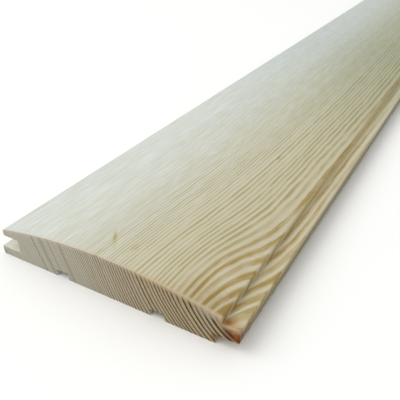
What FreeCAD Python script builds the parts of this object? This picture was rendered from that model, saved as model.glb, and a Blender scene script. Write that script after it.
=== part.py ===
import FreeCAD, Part
import os

# Tongue and groove board with a crowned log-look face, planed from one piece of softwood.
# Millimetres. The board lies on its back along Y with the face up, the groove on -X and the tongue on +X.
# The origin is the middle of the back, halfway between the lower lip's tip and the tongue's tip.

# Stock
board_length = 2000.0
board_thickness = 24.0         # back to the top of the crown
cover_width = 133.5            # face that shows once laid: upper lip's tip to upper shoulder

# Tongue
tongue_reach = 9.0             # from the upper shoulder to the tip
tongue_thickness = 7.2
tongue_tip_radius = 0.9        # eased corners that help it into the next board

# Groove
lower_lip_thickness = 5.2
upper_lip_thickness = 3.6      # at its tip, where the crown comes down
groove_end_gap = 2.0           # room past the tongue's tip once the face joint is closed
groove_side_gap = 0.2          # play above and below the tongue
groove_root_radius = 2.4       # left by the cutter in both corners of the groove's back wall

# Step between the face joint and the back joint
back_shoulder_setback = 3.0    # lower shoulder behind the upper one
back_joint_gap = 0.5           # left open at the back so that the face joint closes first

# Eased arrises of the face
lip_arris_radius = 0.8
shoulder_arris_radius = 1.0

# Relief grooves in the back, which keep a wide board from cupping
relief_count = 2
relief_pitch = 59.0
relief_width = 8.2
relief_depth = 4.0

# Heights above the back
tongue_bottom = lower_lip_thickness + groove_side_gap
tongue_top = tongue_bottom + tongue_thickness
groove_top = tongue_top + groove_side_gap
face_edge = groove_top + upper_lip_thickness

# Places across the width
lip_overhang = back_shoulder_setback - back_joint_gap
overall_width = lip_overhang + cover_width + tongue_reach
lower_lip_tip = -overall_width / 2
upper_lip_tip = lower_lip_tip + lip_overhang
upper_shoulder = upper_lip_tip + cover_width
lower_shoulder = upper_shoulder - back_shoulder_setback
tongue_tip = upper_shoulder + tongue_reach
groove_back = upper_lip_tip + tongue_reach + groove_end_gap
crown_middle = (upper_lip_tip + upper_shoulder) / 2


def at(x, z):
    """A point of the section at the board's near end."""
    return FreeCAD.Vector(x, -board_length / 2, z)


def prism(edges):
    """A closed outline carried over the whole length of the board."""
    return Part.Face(Part.Wire(edges)).extrude(FreeCAD.Vector(0, board_length, 0))


def straight(*points):
    """Lines from each point to the next."""
    return [Part.makeLine(a, b) for a, b in zip(points, points[1:])]


def slot(x_low, x_high, z_low, z_high):
    """A square cutter that runs the whole length of the board."""
    return prism(straight(
        at(x_low, z_low), at(x_high, z_low), at(x_high, z_high), at(x_low, z_high), at(x_low, z_low),
    ))


def blank():
    """The planed section before grooving. The crown is two arcs that meet at its highest line."""
    right = straight(
        at(lower_lip_tip, 0),
        at(lower_shoulder, 0),
        at(lower_shoulder, tongue_bottom),
        at(tongue_tip, tongue_bottom),
        at(tongue_tip, tongue_top),
        at(upper_shoulder, tongue_top),
        at(upper_shoulder, face_edge),
    )
    arc = Part.Arc(
        at(upper_shoulder, face_edge),
        at(crown_middle, board_thickness),
        at(upper_lip_tip, face_edge),
    )
    crest = (arc.FirstParameter + arc.LastParameter) / 2
    crown = [arc.toShape(arc.FirstParameter, crest), arc.toShape(crest, arc.LastParameter)]
    left = straight(
        at(upper_lip_tip, face_edge),
        at(upper_lip_tip, lower_lip_thickness),
        at(lower_lip_tip, lower_lip_thickness),
        at(lower_lip_tip, 0),
    )
    return prism(right + crown + left)


def eased(solid, x, z, radius):
    """Rounds the long edge that passes through this corner of the section."""
    corner = at(x, z)
    far_corner = corner + FreeCAD.Vector(0, board_length, 0)
    edge = next(
        e for e in solid.Edges
        if e.distToShape(Part.Vertex(corner))[0] + e.distToShape(Part.Vertex(far_corner))[0] < 0.001
    )
    return solid.makeFillet(radius, [edge])


board = blank().cut(slot(lower_lip_tip - groove_end_gap, groove_back, lower_lip_thickness, groove_top))
for index in range(relief_count):
    middle = (index - (relief_count - 1) / 2) * relief_pitch
    board = board.cut(slot(middle - relief_width / 2, middle + relief_width / 2, -relief_depth, relief_depth))

root_radius = min(groove_root_radius, (groove_top - lower_lip_thickness) * 0.45)
tip_radius = min(tongue_tip_radius, tongue_thickness * 0.45)
board = eased(board, groove_back, lower_lip_thickness, root_radius)
board = eased(board, groove_back, groove_top, root_radius)
board = eased(board, tongue_tip, tongue_bottom, tip_radius)
board = eased(board, tongue_tip, tongue_top, tip_radius)
board = eased(board, upper_lip_tip, face_edge, min(lip_arris_radius, upper_lip_thickness * 0.8))
board = eased(board, upper_shoulder, face_edge, min(shoulder_arris_radius, (face_edge - tongue_top) * 0.8))

# The cuts give a compound that holds the one solid
board = Part.Solid(board.Solids[0])

os.makedirs("parts", exist_ok=True)
board.exportStep("parts/board.step")
print("board", board.ShapeType, "valid", board.isValid(), "volume", round(board.Volume), "mm3")
print("overall", round(overall_width, 2), "x", board_thickness, "x", board_length)
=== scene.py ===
import math
import random

import bpy
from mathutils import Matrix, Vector
from mathutils.geometry import delaunay_2d_cdt


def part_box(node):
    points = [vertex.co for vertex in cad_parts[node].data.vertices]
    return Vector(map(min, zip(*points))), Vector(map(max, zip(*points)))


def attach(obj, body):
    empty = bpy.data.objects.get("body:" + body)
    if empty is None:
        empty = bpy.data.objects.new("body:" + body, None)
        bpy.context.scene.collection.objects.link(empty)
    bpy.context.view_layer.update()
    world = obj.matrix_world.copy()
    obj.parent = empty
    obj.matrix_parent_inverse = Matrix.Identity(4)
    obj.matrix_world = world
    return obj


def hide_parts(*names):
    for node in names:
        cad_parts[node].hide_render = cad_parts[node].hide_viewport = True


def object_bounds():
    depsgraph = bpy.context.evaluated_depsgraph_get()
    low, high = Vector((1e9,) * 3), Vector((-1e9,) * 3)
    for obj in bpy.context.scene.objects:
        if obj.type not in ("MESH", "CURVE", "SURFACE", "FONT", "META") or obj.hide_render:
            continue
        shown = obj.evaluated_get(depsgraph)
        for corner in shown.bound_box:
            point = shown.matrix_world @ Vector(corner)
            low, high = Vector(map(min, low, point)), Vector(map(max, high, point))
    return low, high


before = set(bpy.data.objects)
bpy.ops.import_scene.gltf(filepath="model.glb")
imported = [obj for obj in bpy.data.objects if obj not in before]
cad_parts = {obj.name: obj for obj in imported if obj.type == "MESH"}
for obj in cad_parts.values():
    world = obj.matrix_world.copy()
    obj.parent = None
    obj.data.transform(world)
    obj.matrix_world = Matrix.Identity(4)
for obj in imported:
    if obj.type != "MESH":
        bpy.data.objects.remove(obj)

# Tongue and groove board, planed from one piece of pine, with a crowned face and sawn ends.
# The dictionaries are in millimetres unless a note says otherwise. Blender itself works in metres.

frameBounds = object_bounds()
scene = bpy.context.scene
mm = 0.001


def linearColour(hexColour):
    channels = [int(hexColour[i:i + 2], 16) / 255 for i in (1, 3, 5)]
    linear = [c / 12.92 if c <= 0.04045 else ((c + 0.055) / 1.055) ** 2.4 for c in channels]
    return (*linear, 1.0)


# An input is a number, a tuple, a socket, or a node whose first output is meant
def addNode(tree, kind, settings=None, inputs=None):
    node = tree.nodes.new(kind)
    for name, value in (settings or {}).items():
        setattr(node, name, value)
    for key, value in (inputs.items() if isinstance(inputs, dict) else enumerate(inputs or [])):
        if isinstance(value, bpy.types.Node):
            value = value.outputs[0]
        if isinstance(value, bpy.types.NodeSocket):
            tree.links.new(value, node.inputs[key])
        elif value is not None:
            node.inputs[key].default_value = value
    return node


# Settings that many nodes share, and the span that Blender's noise mostly keeps to
mixColours = {"data_type": "RGBA"}
smoothly = {"interpolation_type": "SMOOTHSTEP"}
noiseSpan = (0.3, 0.7)


# How the tree grew: the pith is outside the board, up and to the right of the tongue.
# A branch near this end pushed the rings outwards, which is why the bands sweep round there.
growth = {
    "pithAcross": 170.6,
    "pithAbove": 119.6,
    "bulges": [                 # middle from the near end's back middle, reach, how far the rings moved out
        ((66.9, -59.2, 6.0), (23.0, 74.3, 23.4), 23.7),
        ((48.7, 20.9, 19.9), (18.8, 36.6, 13.0), 4.9),
        ((95.0, 140.0, -60.0), (94.6, 127.4, 129.9), 4.8),
        ((16.4, -21.3, -60.0), (45.5, 101.0, 96.9), 23.7),
    ],
    "wander": 0.5,              # slow drift of the grain along the board
    "wanderSize": (45.0, 220.0, 45.0),
    "ripple": 1.2,              # the bands waver a little, growing from nothing at the near end
    "rippleSize": (12.0, 23.0, 12.0),
    "rippleFrom": 3.0,
    "rippleTo": 45.0,
    "countFrom": 133.0,         # distance at which the rings are counted from
    "lateWidth": 1.15,          # ring width of an old tree; young rings are wider
    "early": 42.65,
    "earlyLength": 73.7,
    "firstRing": -22.49,
    "swing": 0.23,              # good and bad years follow each other, so the rings crowd and spread
    "swingMiddle": 142.8,
    "swingLength": 20.8,
    "leanFrom": 133.8,          # a run of dry years between the two darkest bands
    "leanTo": 135.2,
    "leanBefore": -0.2,
    "leanAfter": 0.04,
    "yearSeed": 852923.0,
}


# Distance of every point from the pith along the grain, and the count of rings there
def growthRings(tree, position):
    g = growth
    placed = addNode(tree, "ShaderNodeVectorMath", {"operation": "SCALE"}, {0: position, 3: 1 / mm})
    nearEnd = (0.0, frameBounds[0][1] / mm, 0.0)
    point = addNode(tree, "ShaderNodeVectorMath", {"operation": "SUBTRACT"}, [placed, nearEnd])
    parts = addNode(tree, "ShaderNodeSeparateXYZ", {}, [point])
    across = addNode(tree, "ShaderNodeMath", {"operation": "SUBTRACT"}, [g["pithAcross"], parts.outputs[0]])
    above = addNode(tree, "ShaderNodeMath", {"operation": "SUBTRACT"}, [g["pithAbove"], parts.outputs[2]])
    spoke = addNode(tree, "ShaderNodeCombineXYZ", {}, [across, 0.0, above])
    radius = addNode(tree, "ShaderNodeVectorMath", {"operation": "LENGTH"}, [spoke]).outputs["Value"]
    angle = addNode(tree, "ShaderNodeMath", {"operation": "ARCTAN2"}, [above, across])
    aside = addNode(tree, "ShaderNodeMath", {"operation": "MULTIPLY"}, [radius, angle])

    # bulges round the branch and its knot
    for middle, reach, height in g["bulges"]:
        fromMiddle = addNode(tree, "ShaderNodeVectorMath", {"operation": "SUBTRACT"}, [point, middle])
        scaled = addNode(tree, "ShaderNodeVectorMath", {"operation": "DIVIDE"}, [fromMiddle, reach])
        square = addNode(tree, "ShaderNodeVectorMath", {"operation": "DOT_PRODUCT"}, [scaled, scaled])
        minus = addNode(tree, "ShaderNodeMath", {"operation": "MULTIPLY"}, [square.outputs["Value"], -1.0])
        mound = addNode(tree, "ShaderNodeMath", {"operation": "EXPONENT"}, [minus])
        radius = addNode(tree, "ShaderNodeMath", {"operation": "MULTIPLY_ADD"}, [mound, -height, radius])

    # slow wander, so that no ring runs dead straight
    slow = addNode(tree, "ShaderNodeVectorMath", {"operation": "DIVIDE"}, [point, g["wanderSize"]])
    drift = addNode(tree, "ShaderNodeTexNoise", {},
                    {"Vector": slow, "Scale": 1.0, "Detail": 4.0, "Roughness": 0.55})
    centred = addNode(tree, "ShaderNodeMath", {"operation": "SUBTRACT"}, [drift, 0.5])
    distance = addNode(tree, "ShaderNodeMath", {"operation": "MULTIPLY_ADD"}, [centred, g["wander"], radius])

    # and a small ripple on the face
    fine = addNode(tree, "ShaderNodeVectorMath", {"operation": "DIVIDE"}, [point, g["rippleSize"]])
    ripple = addNode(tree, "ShaderNodeTexNoise", {},
                     {"Vector": fine, "Scale": 1.0, "Detail": 2.0, "Roughness": 0.6})
    centred = addNode(tree, "ShaderNodeMath", {"operation": "SUBTRACT"}, [ripple, 0.5])
    amount = addNode(tree, "ShaderNodeMapRange", {},
                     [parts.outputs[1], g["rippleFrom"], g["rippleTo"], 0.0, g["ripple"]])
    distance = addNode(tree, "ShaderNodeMath", {"operation": "MULTIPLY_ADD"}, [centred, amount, distance])

    # rings are wide while the tree is young, and even later
    beyond = addNode(tree, "ShaderNodeMath", {"operation": "SUBTRACT"}, [distance, g["countFrom"]])
    even = addNode(tree, "ShaderNodeMath", {"operation": "MULTIPLY_ADD"},
                   [beyond, 1 / g["lateWidth"], g["firstRing"]])
    aged = addNode(tree, "ShaderNodeMath", {"operation": "MULTIPLY"}, [beyond, -1 / g["earlyLength"]])
    youth = addNode(tree, "ShaderNodeMath", {"operation": "EXPONENT"}, [aged])
    count = addNode(tree, "ShaderNodeMath", {"operation": "MULTIPLY_ADD"}, [youth, g["early"], even])
    swing = addNode(tree, "ShaderNodeMath", {"operation": "SUBTRACT"}, [distance, g["swingMiddle"]])
    swing = addNode(tree, "ShaderNodeMath", {"operation": "MULTIPLY"}, [swing, math.tau / g["swingLength"]])
    swing = addNode(tree, "ShaderNodeMath", {"operation": "COSINE"}, [swing])
    count = addNode(tree, "ShaderNodeMath", {"operation": "MULTIPLY_ADD"}, [swing, g["swing"], count])
    lean = addNode(tree, "ShaderNodeMapRange", smoothly,
                   [distance, g["leanFrom"], g["leanTo"], g["leanBefore"], g["leanAfter"]])
    ring = addNode(tree, "ShaderNodeMath", {"operation": "ADD"}, [count, lean])
    year = addNode(tree, "ShaderNodeMath", {"operation": "FLOOR"}, [ring])
    yearCode = addNode(tree, "ShaderNodeMath", {"operation": "ADD"}, [year, g["yearSeed"]])
    season = addNode(tree, "ShaderNodeMath", {"operation": "FRACT"}, [ring])
    grain = addNode(tree, "ShaderNodeCombineXYZ", {}, [distance, parts.outputs[1], aside])
    return {"point": point, "distance": distance, "yearCode": yearCode, "season": season, "grain": grain}


# How dark the wood is within one year: pale spring wood, then a band of summer wood that ends sharply
def summerBand(tree, season, stops):
    ramp = addNode(tree, "ShaderNodeValToRGB", {}, [season])
    ramp.color_ramp.interpolation = "EASE"
    points = ramp.color_ramp.elements
    for place, value in stops[1:-1]:
        points.new(place)
    for element, (place, value) in zip(points, stops):
        element.position = place
        element.color = (value, value, value, 1.0)
    return ramp


# Bands on planed wood and on a sawn end, thin or, by the branch, thick: place in the year, darkness
planedBand = [(0.0, 0.7), (0.1, 0.06), (0.32, 0.0), (0.5, 0.3), (0.7, 1.0), (0.92, 1.0), (1.0, 0.7)]
thickBand = [(0.0, 0.9), (0.1, 0.5), (0.2, 0.03), (0.4, 0.1), (0.57, 0.9), (0.66, 1.0), (1.0, 1.0)]
thinEndBand = [(0.0, 0.7), (0.1, 0.05), (0.58, 0.1), (0.76, 0.8), (0.84, 1.0), (0.96, 1.0), (1.0, 0.7)]
thickEndBand = [(0.0, 1.0), (0.05, 0.85), (0.14, 0.0), (0.52, 0.1), (0.67, 0.85), (0.75, 1.0), (1.0, 1.0)]

# Patterns in the wood: size outwards, along the grain and round the rings, then detail and roughness
grainPatterns = {
    "fibres": ((0.5, 45.0, 1.4), 3.0, 0.6),     # 0.03 mm wide in pine; drawn this wide so that they show
    "patches": ((1.6, 20.0, 4.0), 3.0, 0.6),    # a band is stronger in some places than in others
    "clouds": ((14.0, 260.0, 30.0), 2.0, 0.5),
}

# Colours and finish of the planed faces and of the sawn ends
pine = {
    "springSap": "#CCD1CD",         # outer wood, on the groove side
    "springHeart": "#C2BA9F",       # inner wood, on the tongue side
    "summerSap": "#BCBCA8",
    "summerMiddle": "#9D9668",
    "summerHeart": "#9C8848",
    "summerWarm": "#A0874C",        # a few years turned more orange
    "summerKnot": "#998040",        # and the wood next to the branch is browner
    "endSpringSap": "#BEBAAC",      # cut fibres drink the light, so the ends are darker
    "endSpringHeart": "#AC9B7A",
    "endSummerSap": "#7A7158",
    "endSummerHeart": "#2A1D0E",
    "endDryYear": "#43392A",        # dry years left darker rings in the outer wood
    "thickFrom": 136.0,             # distances from the pith; the summer wood is thick next to the branch
    "thickTo": 147.0,
    "middleFrom": 143.0,
    "middleTo": 157.0,
    "sapFrom": 151.0,               # the wood pales outwards from here
    "sapTo": 241.0,
    "yearStrength": (0.5, 1.0),     # the faintest and the strongest year
    "warmYears": (0.45, 0.85),      # places in the order of the years, from 0 to 1
    "dryYears": (0.87, 0.91),
    "dryRuns": [(232.6, 2.2), (226.5, 1.0)],    # dry years close together: distance from the pith, reach
    "dryWidening": 0.15,
    "patchTones": (0.4, 1.5),       # the faintest and the strongest part of a band
    "streakTones": (-0.3, 0.3),     # added to the darkness in the outer wood
    "fibreTones": (-0.16, 0.2),
    "speckTones": (-0.14, 0.14),
    "cloudTones": (0.97, 1.03),
    "endEvening": 0.5,              # years differ less on the ends
    "farShadeSap": "#ECF1F4",            # painted shade: darker and greyer away from the near end, as the light falls off
    "farShadeHeart": "#D3DED7",
    "farFrom": 60.0,
    "farTo": 480.0,
    "speckScale": 1.1,              # for each millimetre
    "raggedScale": 0.45,
    "markRagged": 0.5,
    "markFade": (0.4, 1.3),        # in half sizes of the mark
    "frayHighlightSap": "#C8BCA8",            # where the saw frayed the upper edge of an end, also painted lighter as a highlight where the edge catches the light
    "frayHighlightHeart": "#BAA888",
    "rimFade": (0.9, 3.3),
    "rimRagged": 1.4,
    "rimAcross": (8.0, 30.0),       # fainter on the groove side than on the tongue side
    "rimStrength": (0.4, 0.8),
    "rimOnTongue": 0.65,
    "rimSkip": 10.0,                # takes the tongue's level out of reach inside the board
    "bandRise": 0.02,               # summer wood, fibres and the torn fibres of the ends
    "fibreRise": 0.05,
    "tornRise": 0.35,
    "bumpStrength": 0.6,
    "planedRoughness": 0.46,
    "sawnRoughness": 0.85,
    "ior": 1.5,
    "specular": 0.3,                # bare dry wood shines little
}


# Stains, and painted light and shade: middle from the near end's back middle, half size, colour, how the
# colour goes on, strength, and for a slanting one how far it moves across for each millimetre along.
# A dye or a painted shade is multiplied into the wood; resin, bloom and painted light lie over it.
stainsAndPaintedLight = [
    ((67.5, 0.0, 9.0), (6.5, 5.0, 6.5), "#E7CBB0", "MULTIPLY", 1.0),           # dark wood at the tongue's end
    ((69.6, 0.0, 7.4), (6.0, 4.0, 2.6), "#D2BC9C", "MULTIPLY", 0.8),
    ((71.5, 0.0, 9.6), (3.4, 7.0, 4.6), "#8A4A00", "MIX", 0.95),               # resin in the knot's heart
    ((66.9, 0.0, 10.0), (4.6, 3.0, 3.4), "#80481A", "MIX", 0.35),
    ((68.2, 0.0, 11.5), (1.8, 3.0, 1.2), "#B08450", "MULTIPLY", 0.9),
    ((67.0, 1.0, 12.6), (8.0, 7.0, 2.4), "#EACDA0", "MULTIPLY", 0.9),          # and where the resin ran
    ((65.2, 3.0, 12.6), (1.9, 3.6, 2.0), "#E4BC84", "MULTIPLY", 0.7),
    ((57.0, 5.0, 21.0), (24.0, 17.0, 8.0), "#ECE6DA", "MULTIPLY", 1.0),        # the most handled corner
    ((60.4, 0.0, 4.0), (2.6, 4.0, 3.6), "#DCA45C", "MULTIPLY", 0.9),
    ((62.9, 0.0, 14.3), (2.4, 2.0, 4.6), "#AD9066", "MIX", 0.85),
    ((57.4, 0.0, 17.6), (1.2, 1.5, 1.2), "#FFC090", "MULTIPLY", 0.8),
    ((57.5, 0.0, 16.6), (9.0, 3.0, 3.8), "#AEA08C", "MIX", 0.6),               # bloom under the face's edge
    ((42.0, -2.0, 22.0), (34.0, 7.0, 7.0), "#F2DFC8", "MULTIPLY", 0.5),        # the handled end, browner
    ((-5.2, 0.0, 23.6), (2.2, 1.6, 1.4), "#EBC890", "MULTIPLY", 0.8),          # resin streak on the face
    ((-5.2, 15.6, 24.0), (2.3, 9.6, 3.0), "#F6F2DA", "MULTIPLY", 1.0, -0.69),
    ((-6.3, 17.2, 24.0), (1.5, 4.6, 3.0), "#E6DDC0", "MULTIPLY", 0.9, -0.6),
    ((-5.4, 4.0, 24.0), (0.8, 4.4, 3.0), "#DDD6BE", "MULTIPLY", 0.8),
    ((8.0, 15.0, 24.0), (2.8, 4.0, 3.0), "#F8E8D6", "MULTIPLY", 0.7),
    ((73.0, 1000.0, 8.2), (2.4, 5000.0, 5.0), "#A29C8E", "MULTIPLY", 1.0),     # painted shade on the tongue's edge face, which is turned from the light
    # painted shade on the tongue's edge made yellower towards the near end
    ((73.0, 30.0, 9.0), (2.6, 130.0, 7.0), "#FFFCE2", "MULTIPLY", 1.0),
    ((30.6, 143.0, 22.0), (0.8, 5.0, 3.0), "#C8BC98", "MULTIPLY", 0.9),
    ((63.5, 330.0, 14.6), (0.9, 380.0, 3.0), "#CCBA8C", "MIX", 0.8),           # painted light: the shaded shoulder wall, lightened and yellowed
    # painted light: the tongue's root in the shoulder's shadow, lightened and yellowed
    ((64.3, 200.0, 12.6), (1.7, 210.0, 1.7), "#CDBB88", "MIX", 0.5),
    # painted shade: the shoulder's rounded arris made darker and yellower
    ((63.0, 300.0, 16.6), (1.4, 340.0, 1.5), "#E4D6AC", "MULTIPLY", 0.8),
    ((70.4, 250.0, 12.6), (3.8, 230.0, 2.6), "#C3BDA2", "MIX", 0.6),           # greyer where the branch ends
    ((-65.0, 12.0, 5.2), (9.5, 44.0, 1.1), "#E0D8CA", "MIX", 0.75),            # painted light: the groove's lower lip, inside the recess, painted paler
]


# The patterns as nodes; specks and ragged edges don't follow the grain
def woodPatterns(tree, rings):
    patterns = {}
    for name, (size, detail, roughness) in grainPatterns.items():
        scaled = addNode(tree, "ShaderNodeVectorMath", {"operation": "DIVIDE"}, [rings["grain"], size])
        patterns[name] = addNode(tree, "ShaderNodeTexNoise", {},
                                 {"Vector": scaled, "Scale": 1.0, "Detail": detail, "Roughness": roughness})
    patterns["specks"] = addNode(tree, "ShaderNodeTexNoise", {},
                                 {"Vector": rings["point"], "Scale": pine["speckScale"], "Detail": 4.0,
                                  "Roughness": 0.7})
    patterns["ragged"] = addNode(tree, "ShaderNodeTexNoise", {},
                                 {"Vector": rings["point"], "Scale": pine["raggedScale"], "Detail": 3.0})
    return patterns


# Each year is a little darker or paler than the next, and the wood changes from the pith outwards
def yearTones(tree, rings):
    p = pine
    tone = addNode(tree, "ShaderNodeTexWhiteNoise", {"noise_dimensions": "1D"}, {"W": rings["yearCode"]})
    dry = addNode(tree, "ShaderNodeMapRange", {}, [tone, *p["dryYears"], 0.0, 1.0])
    for middle, reach in p["dryRuns"]:
        away = addNode(tree, "ShaderNodeMath", {"operation": "SUBTRACT"}, [rings["distance"], middle])
        away = addNode(tree, "ShaderNodeMath", {"operation": "ABSOLUTE"}, [away])
        run = addNode(tree, "ShaderNodeMapRange", smoothly, [away, 0.0, reach, 1.0, 0.0])
        dry = addNode(tree, "ShaderNodeMath", {"operation": "MAXIMUM"}, [dry, run])
    return {
        "dry": dry,
        "strength": addNode(tree, "ShaderNodeMapRange", {}, [tone, 0.0, 1.0, *p["yearStrength"]]),
        "warm": addNode(tree, "ShaderNodeMapRange", {}, [tone, *p["warmYears"], 0.0, 1.0]),
        "thick": addNode(tree, "ShaderNodeMapRange", {},
                         [rings["distance"], p["thickFrom"], p["thickTo"], 1.0, 0.0]),
        "middle": addNode(tree, "ShaderNodeMapRange", smoothly,
                          [rings["distance"], p["middleFrom"], p["middleTo"], 0.0, 1.0]),
        "sap": addNode(tree, "ShaderNodeMapRange", smoothly,
                       [rings["distance"], p["sapFrom"], p["sapTo"], 0.0, 1.0]),
    }


def planedColour(tree, band, years, patterns):
    p = pine
    patchTone = addNode(tree, "ShaderNodeMapRange", {}, [patterns["patches"], *noiseSpan, *p["patchTones"]])
    fibreTone = addNode(tree, "ShaderNodeMapRange", {}, [patterns["fibres"], *noiseSpan, *p["fibreTones"]])
    streaks = addNode(tree, "ShaderNodeMapRange", {},
                      [patterns["patches"], *noiseSpan, *p["streakTones"]])
    shade = addNode(tree, "ShaderNodeMath", {"operation": "MULTIPLY"}, [band, years["strength"]])
    shade = addNode(tree, "ShaderNodeMath", {"operation": "MULTIPLY"}, [shade, patchTone])
    shade = addNode(tree, "ShaderNodeMath", {"operation": "MULTIPLY_ADD"}, [streaks, years["sap"], shade])
    shade = addNode(tree, "ShaderNodeMath", {"operation": "ADD", "use_clamp": True}, [shade, fibreTone])

    spring = addNode(tree, "ShaderNodeMix", mixColours,
                     {0: years["sap"], 6: linearColour(p["springHeart"]), 7: linearColour(p["springSap"])})
    summer = addNode(tree, "ShaderNodeMix", mixColours,
                     {0: years["warm"], 6: linearColour(p["summerHeart"]),
                      7: linearColour(p["summerWarm"])})
    for share, colour in (("thick", "summerKnot"), ("middle", "summerMiddle"), ("sap", "summerSap")):
        summer = addNode(tree, "ShaderNodeMix", mixColours,
                         {0: years[share], 6: summer.outputs[2], 7: linearColour(p[colour])})
    planed = addNode(tree, "ShaderNodeMix", mixColours,
                     {0: shade, 6: spring.outputs[2], 7: summer.outputs[2]})
    return planed.outputs[2]


# On a sawn end the same rings read darker, and dry years stand out
def sawnColour(tree, rings, years, patterns):
    p = pine
    thin = summerBand(tree, rings["season"], thinEndBand)
    thick = summerBand(tree, rings["season"], thickEndBand)
    band = addNode(tree, "ShaderNodeMix", {}, {0: years["thick"], 2: thin, 3: thick})
    dry = addNode(tree, "ShaderNodeMath", {"operation": "MULTIPLY"}, [years["sap"], years["dry"]])
    evened = addNode(tree, "ShaderNodeMath", {"operation": "POWER"}, [years["strength"], p["endEvening"]])
    speckTone = addNode(tree, "ShaderNodeMapRange", {}, [patterns["specks"], *noiseSpan, *p["speckTones"]])
    shade = addNode(tree, "ShaderNodeMath", {"operation": "MULTIPLY"}, [band, evened])
    shade = addNode(tree, "ShaderNodeMath", {"operation": "MULTIPLY_ADD"}, [dry, p["dryWidening"], shade])
    shade = addNode(tree, "ShaderNodeMath", {"operation": "ADD", "use_clamp": True}, [shade, speckTone])

    spring = addNode(tree, "ShaderNodeMix", mixColours,
                     {0: years["sap"], 6: linearColour(p["endSpringHeart"]),
                      7: linearColour(p["endSpringSap"])})
    summer = addNode(tree, "ShaderNodeMix", mixColours,
                     {0: years["sap"], 6: linearColour(p["endSummerHeart"]),
                      7: linearColour(p["endSummerSap"])})
    summer = addNode(tree, "ShaderNodeMix", mixColours,
                     {0: dry, 6: summer.outputs[2], 7: linearColour(p["endDryYear"])})
    sawn = addNode(tree, "ShaderNodeMix", mixColours,
                   {0: shade, 6: spring.outputs[2], 7: summer.outputs[2]})
    return sawn.outputs[2]


# Painted shade: darker and greyer along the board away from the near end, as the light falls off; the tone
# also varies in slow clouds
def falloffShadeAndCloudColour(tree, colour, along, years, patterns):
    p = pine
    far = addNode(tree, "ShaderNodeMapRange", smoothly, [along, p["farFrom"], p["farTo"], 0.0, 1.0])
    falloffShade = addNode(tree, "ShaderNodeMix", mixColours,
                      {0: years["sap"], 6: linearColour(p["farShadeHeart"]), 7: linearColour(p["farShadeSap"])})
    colour = addNode(tree, "ShaderNodeMix", {**mixColours, "blend_type": "MULTIPLY"},
                     {0: far, 6: colour, 7: falloffShade.outputs[2]})
    cloudTone = addNode(tree, "ShaderNodeMapRange", {}, [patterns["clouds"], *noiseSpan, *p["cloudTones"]])
    drifted = addNode(tree, "ShaderNodeVectorMath", {"operation": "SCALE"},
                      {0: colour.outputs[2], 3: cloudTone})
    return drifted.outputs[0]


def stainedAndPaintedLightColour(tree, colour, rings, patterns):
    p = pine
    for middle, size, tint, way, amount, *lean in stainsAndPaintedLight:
        fromMark = addNode(tree, "ShaderNodeVectorMath", {"operation": "SUBTRACT"},
                            [rings["point"], middle])
        if lean:
            x, y, z = addNode(tree, "ShaderNodeSeparateXYZ", {}, [fromMark]).outputs
            across = addNode(tree, "ShaderNodeMath", {"operation": "MULTIPLY_ADD"}, [y, -lean[0], x])
            fromMark = addNode(tree, "ShaderNodeCombineXYZ", {}, [across, y, z])
        inMark = addNode(tree, "ShaderNodeVectorMath", {"operation": "DIVIDE"}, [fromMark, size])
        reach = addNode(tree, "ShaderNodeVectorMath", {"operation": "LENGTH"}, [inMark]).outputs["Value"]
        edge = addNode(tree, "ShaderNodeMath", {"operation": "MULTIPLY_ADD"},
                       [patterns["ragged"], p["markRagged"], reach])
        cover = addNode(tree, "ShaderNodeMapRange", smoothly, [edge, *p["markFade"], amount, 0.0])
        colour = addNode(tree, "ShaderNodeMix", {**mixColours, "blend_type": way},
                         {0: cover, 6: colour, 7: linearColour(tint)}).outputs[2]
    return colour


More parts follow.
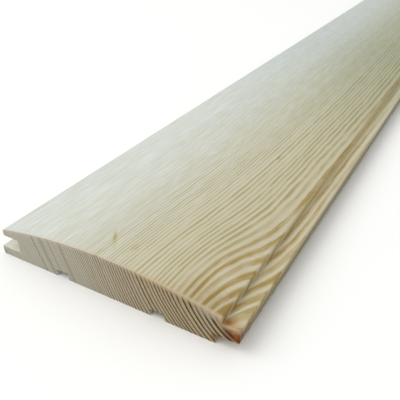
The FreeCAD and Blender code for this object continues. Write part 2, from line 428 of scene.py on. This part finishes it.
# The saw frays the upper edges of the face and the tongue, and these edges are also painted lighter as a
# highlight where they catch the light, so face and end meet in a tone between
def rimFrayAndHighlightColour(tree, colour, rings, years, patterns, halfWidth, boardThickness):
    p = pine
    parts = addNode(tree, "ShaderNodeSeparateXYZ", {}, [rings["point"]]).outputs
    middle, _, crownRadius = crownCircle(halfWidth, boardThickness)
    crownCentre = (middle, 0.0, boardThickness - crownRadius)
    spoke = addNode(tree, "ShaderNodeVectorMath", {"operation": "SUBTRACT"}, [rings["point"], crownCentre])
    spoke = addNode(tree, "ShaderNodeVectorMath", {"operation": "MULTIPLY"}, [spoke, (1.0, 0.0, 1.0)])
    spoke = addNode(tree, "ShaderNodeVectorMath", {"operation": "LENGTH"}, [spoke]).outputs["Value"]
    underFace = addNode(tree, "ShaderNodeMath", {"operation": "SUBTRACT"}, [crownRadius, spoke])

    # the tongue's top counts only past the shoulder
    inBoard = addNode(tree, "ShaderNodeMath", {"operation": "LESS_THAN"},
                      [parts[0], halfWidth - section["tongueReach"]])
    fromTop = addNode(tree, "ShaderNodeMath", {"operation": "SUBTRACT"}, [section["tongueTop"], parts[2]])
    fromTop = addNode(tree, "ShaderNodeMath", {"operation": "ABSOLUTE"}, [fromTop])
    fromTop = addNode(tree, "ShaderNodeMath", {"operation": "MULTIPLY_ADD"},
                      [inBoard, p["rimSkip"], fromTop])
    under = addNode(tree, "ShaderNodeMath", {"operation": "MINIMUM"}, [underFace, fromTop])

    length = (frameBounds[1][1] - frameBounds[0][1]) / mm
    toEnd = addNode(tree, "ShaderNodeMath", {"operation": "PINGPONG"}, [parts[1], length / 2])
    toRim = addNode(tree, "ShaderNodeMath", {"operation": "ADD"}, [under, toEnd])
    toRim = addNode(tree, "ShaderNodeMath", {"operation": "MULTIPLY_ADD"},
                    [patterns["ragged"], p["rimRagged"], toRim])
    rim = addNode(tree, "ShaderNodeMapRange", smoothly, [toRim, *p["rimFade"], 1.0, 0.0])
    strength = addNode(tree, "ShaderNodeMapRange", smoothly, [parts[0], *p["rimAcross"], *p["rimStrength"]])
    onTongue = addNode(tree, "ShaderNodeMapRange", {}, [inBoard, 0.0, 1.0, p["rimOnTongue"], 1.0])
    strength = addNode(tree, "ShaderNodeMath", {"operation": "MULTIPLY"}, [strength, onTongue])
    rim = addNode(tree, "ShaderNodeMath", {"operation": "MULTIPLY"}, [rim, strength])
    frayHighlightColour = addNode(tree, "ShaderNodeMix", mixColours,
                        {0: years["sap"], 6: linearColour(p["frayHighlightHeart"]), 7: linearColour(p["frayHighlightSap"])})
    rimFrayAndHighlight = addNode(tree, "ShaderNodeMix", mixColours, {0: rim, 6: colour, 7: frayHighlightColour.outputs[2]})
    return rimFrayAndHighlight.outputs[2]


# Pine, planed on every long face and sawn on the ends: a soft sheen with fine ridges, and dull rough ends
def planedPine(halfWidth, boardThickness):
    p = pine
    material = bpy.data.materials.new("planedPine")
    material.use_nodes = True
    tree = material.node_tree
    tree.nodes.clear()
    rings = growthRings(tree, addNode(tree, "ShaderNodeTexCoord").outputs["Object"])
    along = addNode(tree, "ShaderNodeSeparateXYZ", {}, [rings["point"]]).outputs[1]
    sawn = addNode(tree, "ShaderNodeAttribute", {"attribute_name": "sawn"}).outputs["Fac"]
    years = yearTones(tree, rings)
    patterns = woodPatterns(tree, rings)

    thin = summerBand(tree, rings["season"], planedBand)
    thick = summerBand(tree, rings["season"], thickBand)
    band = addNode(tree, "ShaderNodeMix", {}, {0: years["thick"], 2: thin, 3: thick})
    planed = planedColour(tree, band, years, patterns)
    ends = sawnColour(tree, rings, years, patterns)
    colour = addNode(tree, "ShaderNodeMix", mixColours, {0: sawn, 6: planed, 7: ends}).outputs[2]
    colour = falloffShadeAndCloudColour(tree, colour, along, years, patterns)
    colour = stainedAndPaintedLightColour(tree, colour, rings, patterns)
    colour = rimFrayAndHighlightColour(tree, colour, rings, years, patterns, halfWidth, boardThickness)

    # bump in millimetres
    ridge = addNode(tree, "ShaderNodeMath", {"operation": "MULTIPLY"}, [band, p["bandRise"]])
    fibreRise = addNode(tree, "ShaderNodeMath", {"operation": "MULTIPLY_ADD"},
                        [patterns["fibres"], p["fibreRise"], ridge])
    torn = addNode(tree, "ShaderNodeMath", {"operation": "MULTIPLY"}, [patterns["specks"], p["tornRise"]])
    height = addNode(tree, "ShaderNodeMix", {}, {0: sawn, 2: fibreRise, 3: torn})
    bump = addNode(tree, "ShaderNodeBump", {},
                   {"Strength": p["bumpStrength"], "Distance": mm, "Height": height})
    roughness = addNode(tree, "ShaderNodeMapRange", {},
                        [sawn, 0.0, 1.0, p["planedRoughness"], p["sawnRoughness"]])
    shader = addNode(tree, "ShaderNodeBsdfPrincipled", {},
                     {"Base Color": colour, "Roughness": roughness, "Normal": bump,
                      "IOR": p["ior"], "Specular IOR Level": p["specular"]})
    addNode(tree, "ShaderNodeOutputMaterial", {}, [shader])
    print("material: planed pine")
    return material


# Section of the board, seen from the near end
section = {
    "tongueReach": 9.0,
    "tongueBottom": 5.4,
    "tongueTop": 12.6,
    "tongueTipRadius": 0.9,
    "lowerLip": 5.2,
    "grooveTop": 12.8,
    "lipOverhang": 2.5,         # lower lip past the upper one
    "grooveDepth": 11.0,
    "grooveRootRadius": 2.4,
    "shoulderSetback": 3.0,
    "faceEdge": 16.4,
    "lipArris": 0.8,
    "shoulderArris": 1.0,
    "reliefPitch": 59.0,
    "reliefWidth": 8.2,
    "reliefDepth": 4.0,
    "arris": 0.2,               # every other long edge, as the planer leaves it
    "crownSteps": 60,
    "smallRadius": 0.5,         # an edge of less than this radius needs fewer steps
    "smallSteps": 3,
    "largeSteps": 7,
    "faceStep": 0.7,            # between points of the outline
    "backStep": 1.2,
    "endStep": 0.85,            # between points of the sawn ends
    "endSway": 0.2,             # how far a point strays from its place, and the room it keeps, in steps
    "endRoom": 0.55,
    "endSeed": 11,
    "rows": 170,
    "nearRows": 0.1,            # the rows stand closer at the near end, where the grain sweeps round
    "mergeWithin": 0.01,        # the ends are sewn to the long faces
    "endWithin": 0.1,           # points this near an end are on it
    "sharpAngle": 50.0,         # degrees; edges sharper than this are drawn as edges
    "springSink": 0.02,         # spring wood lies this much lower than summer wood
    "sawPitch": 3.2,
    "sawDepth": 0.07,
    "sawCentre": (60.0, 0.0, 150.0),    # how far the blade's axle is below and left of the section's middle
}


# The face is an arc of a wide circle from the upper lip to the shoulder: its middle, half width and radius
def crownCircle(halfWidth, boardThickness):
    s = section
    left = -halfWidth + s["lipOverhang"]
    right = halfWidth - s["tongueReach"]
    reach = (right - left) / 2
    rise = boardThickness - s["faceEdge"]
    return (left + right) / 2, reach, (reach ** 2 + rise ** 2) / (2 * rise)


# Corners as (across, height, radius); the crown's points have no radius
def boardCorners(halfWidth, boardThickness):
    s = section
    lowerTip = -halfWidth
    upperTip = lowerTip + s["lipOverhang"]
    shoulder = halfWidth - s["tongueReach"]
    lowerShoulder = shoulder - s["shoulderSetback"]
    grooveBack = upperTip + s["grooveDepth"]
    middle, reach, crownRadius = crownCircle(halfWidth, boardThickness)
    openAngle = math.asin(reach / crownRadius)

    corners = [(lowerTip, 0.0, s["arris"])]
    for side in (-1, 1):
        left = side * s["reliefPitch"] / 2 - s["reliefWidth"] / 2
        right = left + s["reliefWidth"]
        corners += [(left, 0.0, s["arris"]), (left, s["reliefDepth"], s["arris"]),
                    (right, s["reliefDepth"], s["arris"]), (right, 0.0, s["arris"])]
    corners += [
        (lowerShoulder, 0.0, s["arris"]),
        (lowerShoulder, s["tongueBottom"], s["arris"]),
        (halfWidth, s["tongueBottom"], s["tongueTipRadius"]),
        (halfWidth, s["tongueTop"], s["tongueTipRadius"]),
        (shoulder, s["tongueTop"], s["arris"]),
        (shoulder, s["faceEdge"], s["shoulderArris"]),
    ]
    for step in range(1, s["crownSteps"]):
        turn = openAngle * (1 - 2 * step / s["crownSteps"])
        height = boardThickness - crownRadius * (1 - math.cos(turn))
        corners.append((middle + crownRadius * math.sin(turn), height, 0.0))
    corners += [
        (upperTip, s["faceEdge"], s["lipArris"]),
        (upperTip, s["grooveTop"], s["arris"]),
        (grooveBack, s["grooveTop"], s["grooveRootRadius"]),
        (grooveBack, s["lowerLip"], s["grooveRootRadius"]),
        (lowerTip, s["lowerLip"], s["arris"]),
    ]
    return corners


def roundedOutline(corners):
    outline = []
    for index, (x, z, radius) in enumerate(corners):
        here = Vector((x, z))
        if radius == 0:
            outline.append(here)
            continue
        before = (Vector(corners[index - 1][:2]) - here).normalized()
        after = (Vector(corners[(index + 1) % len(corners)][:2]) - here).normalized()
        halfAngle = before.angle(after) / 2
        centre = here + (before + after).normalized() * (radius / math.sin(halfAngle))
        start = here + before * (radius / math.tan(halfAngle)) - centre
        sweep = start.angle_signed(here + after * (radius / math.tan(halfAngle)) - centre)
        steps = section["smallSteps"] if radius < section["smallRadius"] else section["largeSteps"]
        for step in range(steps + 1):
            turn = -sweep * step / steps
            outline.append(centre + Vector((start.x * math.cos(turn) - start.y * math.sin(turn),
                                            start.x * math.sin(turn) + start.y * math.cos(turn))))
    return outline


# Long runs get points in between, closer on the face and the tongue than on the back
def divided(outline):
    points = []
    for index, here in enumerate(outline):
        following = outline[(index + 1) % len(outline)]
        onFace = min(here.y, following.y) > section["tongueBottom"]
        step = section["faceStep"] if onFace else section["backStep"]
        parts = max(1, math.ceil((following - here).length / step))
        points += [here.lerp(following, part / parts) for part in range(parts)]
    return points


# The sawn end as a flat sheet: the outline's points come first and in order, then loose points inside it
def endSheet(points, nearEnd):
    s = section
    spread = random.Random(s["endSeed"])
    step = s["endStep"]
    sway = s["endSway"]
    count = len(points)
    inside = []
    lowest = min(p.x for p in points)
    highest = max(p.x for p in points)
    top = max(p.y for p in points)
    x = lowest + step
    while x < highest:
        z = step
        while z < top:
            loose = Vector((x + spread.uniform(-sway, sway) * step, z + spread.uniform(-sway, sway) * step))
            if min((loose - p).length_squared for p in points) > (s["endRoom"] * step) ** 2:
                inside.append(loose)
            z += step
        x += step
    edges = [(i, (i + 1) % count) for i in range(count)]
    found, _, faces, origins, _, _ = delaunay_2d_cdt(points + inside, edges, [], 1, 1e-5)
    order = {min(sources): index for index, sources in enumerate(origins) if sources}
    ranked = [order[key] for key in sorted(order)]
    rank = {old: new for new, old in enumerate(ranked)}
    used = sorted({v for face in faces for v in face}, key=lambda v: rank[v])
    renamed = {old: new for new, old in enumerate(used)}
    mesh = bpy.data.meshes.new("board")
    places = [(found[v].x * mm, nearEnd, found[v].y * mm) for v in used]
    mesh.from_pydata(places, [], [[renamed[v] for v in face] for face in faces])
    mesh.update()
    return mesh


# The sweep: a grid is wrapped on the outline and carried along the board, and the sheets close both ends
def boardTree(material):
    s = section
    tree = bpy.data.node_groups.new("sweptBoard", "GeometryNodeTree")
    face = tree.interface
    face.new_socket("Geometry", in_out="INPUT", socket_type="NodeSocketGeometry")
    for name, kind in (("Length", "Float"), ("Outline Points", "Int"), ("Rows", "Int"),
                       ("Near Rows", "Float"), ("Spring Sink", "Float"), ("Saw Pitch", "Float"),
                       ("Saw Depth", "Float"), ("Saw Centre", "Vector")):
        face.new_socket(name, in_out="INPUT", socket_type="NodeSocket" + kind)
    face.new_socket("Geometry", in_out="OUTPUT", socket_type="NodeSocketGeometry")
    given = addNode(tree, "NodeGroupInput").outputs
    sheet = given["Geometry"]

    columns = addNode(tree, "ShaderNodeMath", {"operation": "ADD"}, [given["Outline Points"], 1.0])
    grid = addNode(tree, "GeometryNodeMeshGrid", {}, {2: columns, 3: given["Rows"]})
    index = addNode(tree, "GeometryNodeInputIndex")
    column = addNode(tree, "ShaderNodeMath", {"operation": "DIVIDE"}, [index, given["Rows"]])
    column = addNode(tree, "ShaderNodeMath", {"operation": "FLOOR"}, [column])
    skipped = addNode(tree, "ShaderNodeMath", {"operation": "MULTIPLY"}, [column, given["Rows"]])
    row = addNode(tree, "ShaderNodeMath", {"operation": "SUBTRACT"}, [index, skipped])
    around = addNode(tree, "ShaderNodeMath", {"operation": "MODULO"}, [column, given["Outline Points"]])
    position = addNode(tree, "GeometryNodeInputPosition")
    corner = addNode(tree, "GeometryNodeSampleIndex", {"data_type": "FLOAT_VECTOR"},
                     {"Geometry": sheet, "Value": position, "Index": around})
    cornerParts = addNode(tree, "ShaderNodeSeparateXYZ", {}, [corner])
    lastRow = addNode(tree, "ShaderNodeMath", {"operation": "SUBTRACT"}, [given["Rows"], 1.0])
    share = addNode(tree, "ShaderNodeMath", {"operation": "DIVIDE"}, [row, lastRow])
    cube = addNode(tree, "ShaderNodeMath", {"operation": "POWER"}, [share, 3.0])
    near = addNode(tree, "ShaderNodeMix", {}, {0: given["Near Rows"], 2: cube, 3: share})
    along = addNode(tree, "ShaderNodeMath", {"operation": "MULTIPLY_ADD"},
                    [near, given["Length"], cornerParts.outputs[1]])
    wrapped = addNode(tree, "ShaderNodeCombineXYZ", {},
                      [cornerParts.outputs[0], along, cornerParts.outputs[2]])
    skin = addNode(tree, "GeometryNodeSetPosition", {}, {"Geometry": grid, "Position": wrapped})
    skin = addNode(tree, "GeometryNodeFlipFaces", {}, [skin])

    shift = addNode(tree, "ShaderNodeCombineXYZ", {}, [0.0, given["Length"], 0.0])
    farSheet = addNode(tree, "GeometryNodeTransform", {}, {"Geometry": sheet, "Translation": shift})
    farSheet = addNode(tree, "GeometryNodeFlipFaces", {}, [farSheet])
    sheets = addNode(tree, "GeometryNodeJoinGeometry")
    tree.links.new(sheet, sheets.inputs[0])
    tree.links.new(farSheet.outputs[0], sheets.inputs[0])
    sawn = addNode(tree, "GeometryNodeStoreNamedAttribute", {"data_type": "FLOAT", "domain": "FACE"},
                   {"Geometry": sheets, "Name": "sawn", "Value": 1.0})
    whole = addNode(tree, "GeometryNodeJoinGeometry")
    tree.links.new(skin.outputs[0], whole.inputs[0])
    tree.links.new(sawn.outputs[0], whole.inputs[0])
    shell = addNode(tree, "GeometryNodeMergeByDistance", {},
                    {"Geometry": whole, "Distance": s["mergeWithin"] * mm})

    # planed faces: the spring wood sinks a little between the bands of summer wood
    rings = growthRings(tree, position)
    band = summerBand(tree, rings["season"], planedBand)
    wide = addNode(tree, "ShaderNodeMapRange", {},
                   [rings["distance"], pine["sapFrom"], pine["sapTo"], 1.0, 0.0])
    spring = addNode(tree, "ShaderNodeMath", {"operation": "SUBTRACT"}, [band, 1.0])
    spring = addNode(tree, "ShaderNodeMath", {"operation": "MULTIPLY"}, [spring, wide])
    sink = addNode(tree, "ShaderNodeMath", {"operation": "MULTIPLY"}, [spring, given["Spring Sink"]])
    normal = addNode(tree, "GeometryNodeInputNormal")
    relief = addNode(tree, "ShaderNodeVectorMath", {"operation": "SCALE"}, {0: normal, 3: sink})
    shell = addNode(tree, "GeometryNodeSetPosition", {}, {"Geometry": shell, "Offset": relief})

    # sawn ends: the blade leaves shallow arcs
    parts = addNode(tree, "ShaderNodeSeparateXYZ", {}, [position])
    half = addNode(tree, "ShaderNodeMath", {"operation": "MULTIPLY"}, [given["Length"], 0.5])
    size = addNode(tree, "ShaderNodeMath", {"operation": "ABSOLUTE"}, [parts.outputs[1]])
    gap = addNode(tree, "ShaderNodeMath", {"operation": "SUBTRACT"}, [half, size])
    atEnd = addNode(tree, "ShaderNodeMath", {"operation": "LESS_THAN"}, [gap, s["endWithin"] * mm])
    arc = addNode(tree, "ShaderNodeVectorMath", {"operation": "MULTIPLY"}, [position, (1.0, 0.0, 1.0)])
    arc = addNode(tree, "ShaderNodeVectorMath", {"operation": "ADD"}, [arc, given["Saw Centre"]])
    arc = addNode(tree, "ShaderNodeVectorMath", {"operation": "LENGTH"}, [arc]).outputs["Value"]
    phase = addNode(tree, "ShaderNodeMath", {"operation": "DIVIDE"}, [arc, given["Saw Pitch"]])
    phase = addNode(tree, "ShaderNodeMath", {"operation": "MULTIPLY"}, [phase, math.tau])
    wave = addNode(tree, "ShaderNodeMath", {"operation": "SINE"}, [phase])
    depth = addNode(tree, "ShaderNodeMath", {"operation": "MULTIPLY_ADD"}, [wave, 0.5, 0.5])
    depth = addNode(tree, "ShaderNodeMath", {"operation": "MULTIPLY"}, [depth, given["Saw Depth"]])
    side = addNode(tree, "ShaderNodeMath", {"operation": "SIGN"}, [parts.outputs[1]])
    inward = addNode(tree, "ShaderNodeMath", {"operation": "MULTIPLY"}, [side, depth])
    inward = addNode(tree, "ShaderNodeMath", {"operation": "MULTIPLY"}, [inward, -1.0])
    cut = addNode(tree, "ShaderNodeCombineXYZ", {}, [0.0, inward, 0.0])
    shell = addNode(tree, "GeometryNodeSetPosition", {},
                    {"Geometry": shell, "Selection": atEnd, "Offset": cut})

    smooth = addNode(tree, "GeometryNodeSetShadeSmooth", {"domain": "FACE"}, {0: shell, 2: True})
    edgeAngle = addNode(tree, "GeometryNodeInputMeshEdgeAngle")
    sharp = addNode(tree, "ShaderNodeMath", {"operation": "GREATER_THAN"},
                    [edgeAngle, math.radians(s["sharpAngle"])])
    smooth = addNode(tree, "GeometryNodeSetShadeSmooth", {"domain": "EDGE"}, {0: smooth, 1: sharp, 2: False})
    solid = addNode(tree, "GeometryNodeRealizeInstances", {}, [smooth])
    solid = addNode(tree, "GeometryNodeSetMaterial", {}, {"Geometry": solid, "Material": material})
    addNode(tree, "NodeGroupOutput", {}, [solid])
    return tree


def sweptBoard():
    s = section
    low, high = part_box("board")
    halfWidth = (high.x - low.x) / 2 / mm
    boardThickness = (high.z - low.z) / mm
    outline = roundedOutline(boardCorners(halfWidth, boardThickness))
    points = divided(outline)
    start = bpy.data.objects.new("boardStart", endSheet(points, low.y))
    scene.collection.objects.link(start)
    print("board:", len(points), "points round it,", len(start.data.polygons), "faces on each sawn end")

    tree = boardTree(planedPine(halfWidth, boardThickness))
    modifier = start.modifiers.new("sweep", "NODES")
    modifier.node_group = tree
    values = {
        "Length": high.y - low.y,
        "Outline Points": len(points),
        "Rows": s["rows"],
        "Near Rows": s["nearRows"],
        "Spring Sink": s["springSink"] * mm,
        "Saw Pitch": s["sawPitch"] * mm,
        "Saw Depth": s["sawDepth"] * mm,
        "Saw Centre": [v * mm for v in s["sawCentre"]],
    }
    for item in tree.interface.items_tree:
        if item.item_type == "SOCKET" and item.in_out == "INPUT" and item.name in values:
            modifier[item.identifier] = values[item.name]
    grown = start.evaluated_get(bpy.context.evaluated_depsgraph_get())
    mesh = bpy.data.meshes.new_from_object(grown)
    mesh.name = "plankMesh"
    plank = bpy.data.objects.new("plank", mesh)
    scene.collection.objects.link(plank)
    bpy.data.objects.remove(start)
    print("board: swept to", len(mesh.polygons), "faces")
    return plank


plank = sweptBoard()
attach(plank, "root")
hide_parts("board")


# Studio: a pale matt floor, one large soft light high on the left, and a room that is dim on the right
studio = {
    "floor": "#F2F2F0",
    "floorSize": 60.0,                      # metres
    "floorBelow": 0.0001,                   # metres, just under the board's back
    "room": "#FFFFFF",
    "roomLeft": 0.6,                        # brightness level with the board, on the groove's side
    "roomRight": 0.45,
    "roomAbove": 0.94,
    "roomAcross": (-0.5, 0.5),              # parts of a direction: from the left side to the right one
    "roomUp": (0.1, 0.8),                   # and from level to overhead
    "keyPlace": (-1.9, -1.9, 2.7),          # metres
    "keyAim": (0.0, -0.75, 0.0),
    "keySize": 3.2,
    "keyWatts": 58.0,
}


def setStudio():
    s = studio
    bpy.ops.mesh.primitive_plane_add(size=s["floorSize"], location=(0.0, 0.0, -s["floorBelow"]))
    floor = bpy.context.object
    floor.name = "floor"
    paint = bpy.data.materials.new("mattFloorPaint")
    paint.use_nodes = True
    paintShader = paint.node_tree.nodes["Principled BSDF"]
    paintShader.inputs["Base Color"].default_value = linearColour(s["floor"])
    paintShader.inputs["Roughness"].default_value = 1.0
    floor.data.materials.append(paint)

    world = bpy.data.worlds.new("paleRoom")
    scene.world = world
    world.use_nodes = True
    tree = world.node_tree
    tree.nodes.clear()
    direction = addNode(tree, "ShaderNodeTexCoord").outputs["Generated"]
    parts = addNode(tree, "ShaderNodeSeparateXYZ", {}, [direction])
    falling = addNode(tree, "ShaderNodeMapRange", smoothly,
                      [parts.outputs[0], *s["roomAcross"], s["roomLeft"], s["roomRight"]])
    overhead = addNode(tree, "ShaderNodeMapRange", smoothly, [parts.outputs[2], *s["roomUp"], 0.0, 1.0])
    falling = addNode(tree, "ShaderNodeMix", {}, {0: overhead, 2: falling, 3: s["roomAbove"]})
    seen = addNode(tree, "ShaderNodeLightPath").outputs["Is Camera Ray"]
    strength = addNode(tree, "ShaderNodeMix", {}, {0: seen, 2: falling, 3: 1.0})
    background = addNode(tree, "ShaderNodeBackground", {}, [linearColour(s["room"]), strength])
    addNode(tree, "ShaderNodeOutputWorld", {}, [background])

    lamp = bpy.data.lights.new("key", "AREA")
    lamp.shape = "SQUARE"
    lamp.size = s["keySize"]
    lamp.energy = s["keyWatts"]
    key = bpy.data.objects.new("key", lamp)
    key.location = s["keyPlace"]
    key.rotation_euler = (Vector(s["keyAim"]) - Vector(s["keyPlace"])).to_track_quat("-Z", "Y").to_euler()
    scene.collection.objects.link(key)
    scene.view_settings.view_transform = "Standard"
    scene.view_settings.look = "None"
    scene.view_settings.exposure = 0.0
    print("studio: floor, room and key light")


# Camera, worked out from the photo's section points and long edges
lookout = {
    "place": (134.49, -1142.49, 173.90),
    "heading": 29.83,           # degrees from the board's length, towards the groove
    "pitch": 31.62,             # degrees down
    "lens": 45.84,
    "sensor": 36.0,
    "nearest": 0.01,            # metres that the camera sees between
    "farthest": 100.0,
}


def setCamera():
    c = lookout
    data = bpy.data.cameras.new("camera")
    data.lens = c["lens"]
    data.sensor_width = c["sensor"]
    data.clip_start = c["nearest"]
    data.clip_end = c["farthest"]
    camera = bpy.data.objects.new("camera", data)
    camera.location = [v * mm for v in c["place"]]
    camera.rotation_euler = (math.radians(90 - c["pitch"]), 0.0, math.radians(c["heading"]))
    scene.collection.objects.link(camera)
    scene.camera = camera
    print("camera: set")


setStudio()
setCamera()
